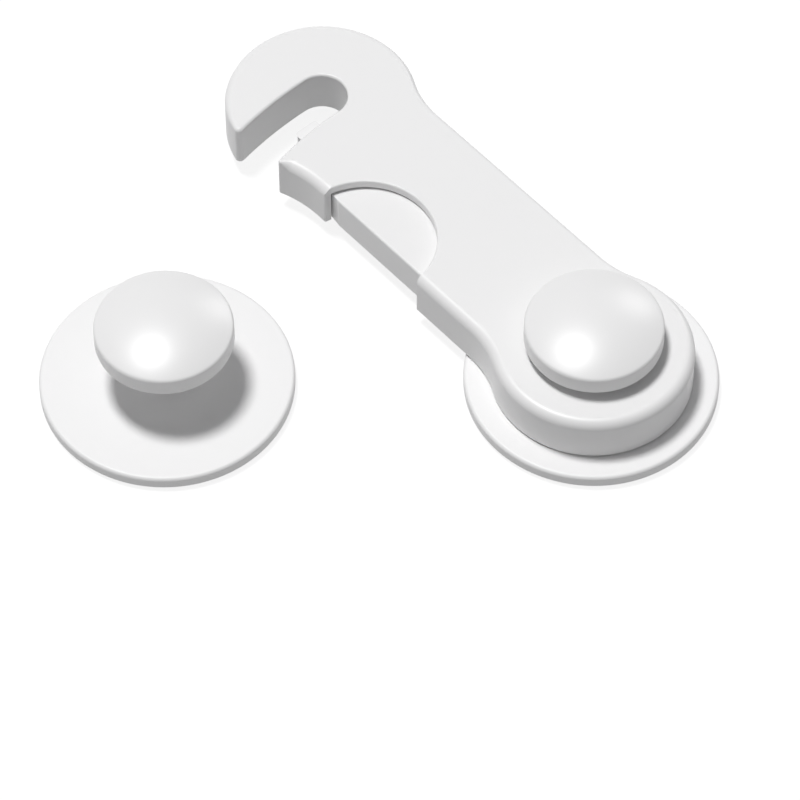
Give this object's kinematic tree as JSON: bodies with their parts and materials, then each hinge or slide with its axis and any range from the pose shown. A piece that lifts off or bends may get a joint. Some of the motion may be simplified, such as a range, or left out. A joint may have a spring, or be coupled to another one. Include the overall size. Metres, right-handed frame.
{
  "type": "cabinet safety lock",
  "caption": "White child-safety lock for cabinets: a hooked swing arm on a stick-on pivot button closes round the post of a stick-on catch button.",
  "frame": {"origin": "on the arm's turning axis, in the plane of the adhesive faces", "axes": "+Z away from the furniture, +X from the catch half towards the pivot half"},
  "size_m": [0.1195, 0.0958, 0.0202],
  "materials": {
    "white_plastic": "satin injection-moulded ABS",
    "white_plastic_matt": "fine spark-eroded ABS",
    "foam_tape": "double-sided foam tape",
    "zinc_steel": "zinc plated",
    "bright_steel": "ground steel and spring wire"
  },
  "bodies": {
    "stuck_on_halves": {"catch_base": "white_plastic", "catch_button": "white_plastic", "catch_pad": "foam_tape", "catch_screw": "zinc_steel", "pivot_base": "white_plastic", "pivot_button": "white_plastic", "pivot_pad": "foam_tape", "pivot_screw": "zinc_steel"},
    "swing_arm": {"arm_cover": "white_plastic", "arm_back_plate": "white_plastic_matt", "arm_screws": "zinc_steel", "lever_pin": "bright_steel", "lever_spring": "bright_steel"},
    "release_lever": {"release_lever": "white_plastic"}
  },
  "joints": [
    {"name": "arm_swing", "type": "hinge", "parent": "stuck_on_halves", "child": "swing_arm", "pos_m": [0, 0, 0], "axis": [0, 0, 1], "range_deg": [-290, 48.9]},
    {"name": "lever_press", "type": "hinge", "parent": "swing_arm", "child": "release_lever", "pos_m": [-0.03692, 0.0551, 0.0075], "axis": [0, 0, 1], "range_deg": [0, 6.3], "stiffness_Nm_per_rad": 1.5, "springref_deg": -2.86, "deforming": ["lever_spring"]}
  ]
}
